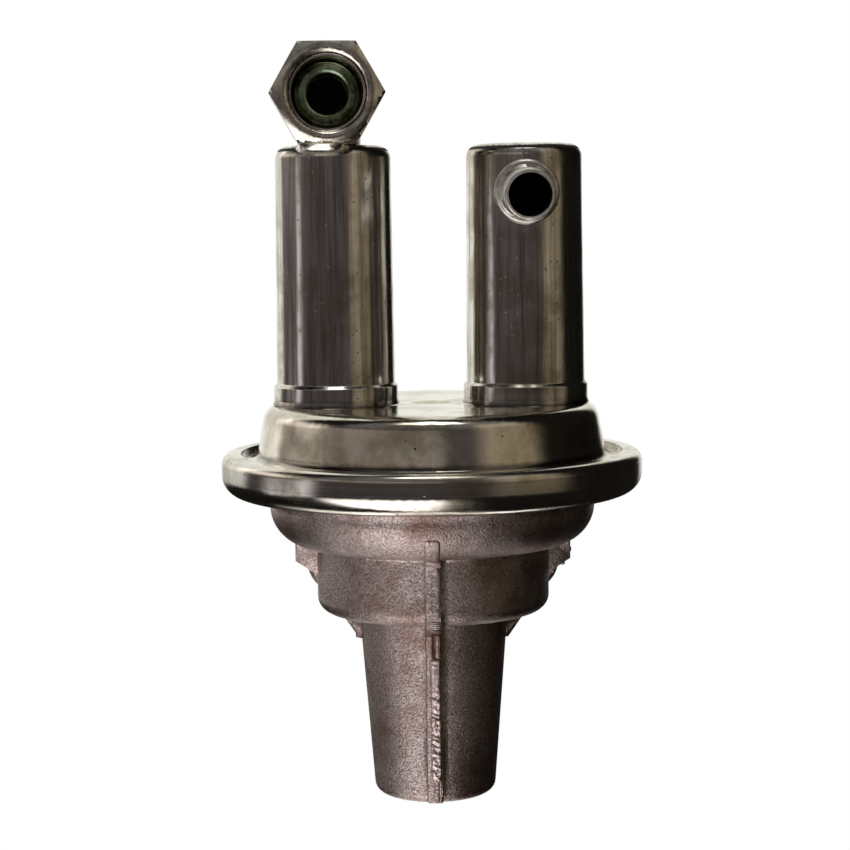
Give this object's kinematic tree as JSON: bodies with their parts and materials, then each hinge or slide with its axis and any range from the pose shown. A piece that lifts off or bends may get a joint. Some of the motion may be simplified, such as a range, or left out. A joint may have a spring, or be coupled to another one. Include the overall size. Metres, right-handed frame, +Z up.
{
  "type": "mechanical fuel pump",
  "caption": "Lever-driven diaphragm fuel pump: zinc-plated cans and crimped dome over a die-cast housing with an engine flange and rocker arm.",
  "frame": {"origin": "on the engine face of the flange, midway between the two bolt holes", "axes": "+Y out of the engine face, towards the engine; +Z up along the pump's axis, towards the cans"},
  "size_m": [0.0826, 0.1203, 0.1492],
  "materials": {
    "housing": "as die cast, matte",
    "ring": "zinc plated, bright",
    "cover": "zinc plated, bright",
    "can": "zinc plated, bright",
    "fitting": "zinc plated, bright",
    "seat": "machined",
    "rubber": "moulded",
    "plain_steel": "bare",
    "spring": "oiled",
    "arm": "forged, hardened pad"
  },
  "bodies": {
    "housing": {"lower_housing": "housing", "crimp_ring": "ring", "top_cover": "cover", "inlet_can": "can", "outlet_can": "can", "inlet_nipple": "fitting", "outlet_fitting": "fitting", "flare_seat": "seat", "diaphragm": "rubber", "diaphragm_spring": "spring", "oil_seal": "rubber", "seal_retainer": "plain_steel", "pivot_pin": "plain_steel", "arm_spring": "spring", "inlet_valve_seat": "plain_steel", "inlet_valve_spring": "spring", "inlet_valve_stem": "plain_steel", "outlet_valve_seat": "plain_steel", "outlet_valve_spring": "spring", "outlet_valve_stem": "plain_steel"},
    "rocker": {"rocker_arm": "arm"},
    "link": {"link": "arm"},
    "diaphragm_core": {"upper_plate": "plain_steel", "lower_plate": "plain_steel", "pull_rod": "plain_steel"},
    "inlet_valve": {"inlet_valve_disc": "rubber"},
    "outlet_valve": {"outlet_valve_disc": "rubber"}
  },
  "joints": [
    {"name": "rocker_swing", "type": "hinge", "parent": "housing", "child": "rocker", "pos_m": [0, -0.03, -0.018], "axis": [1, 0, 0], "range_deg": [0, 14], "stiffness_Nm_per_rad": 0.5, "springref_deg": -17.19, "deforming": ["arm_spring"]},
    {"name": "link_swing", "type": "hinge", "parent": "housing", "child": "link", "pos_m": [0, -0.03, -0.018], "axis": [1, 0, 0], "range_deg": [0, 14.1]},
    {"name": "diaphragm_stroke", "type": "slide", "parent": "housing", "child": "diaphragm_core", "axis": [0, 0, -1], "range_m": [0, 0.0037], "deforming": ["diaphragm", "diaphragm_spring"]},
    {"name": "inlet_valve_lift", "type": "slide", "parent": "housing", "child": "inlet_valve", "axis": [0, 0, -1], "range_m": [0, 0.0015], "stiffness_N_per_m": 60, "springref_m": -0.002, "deforming": ["inlet_valve_spring"]},
    {"name": "outlet_valve_lift", "type": "slide", "parent": "housing", "child": "outlet_valve", "axis": [0, 0, 1], "range_m": [0, 0.0015], "stiffness_N_per_m": 60, "springref_m": -0.002, "deforming": ["outlet_valve_spring"]}
  ],
  "couplings": [
    {"joint": "link_swing", "follows": "rocker_swing", "ratio": 1},
    {"joint": "diaphragm_stroke", "follows": "rocker_swing", "m_per_rad": 0.015}
  ]
}
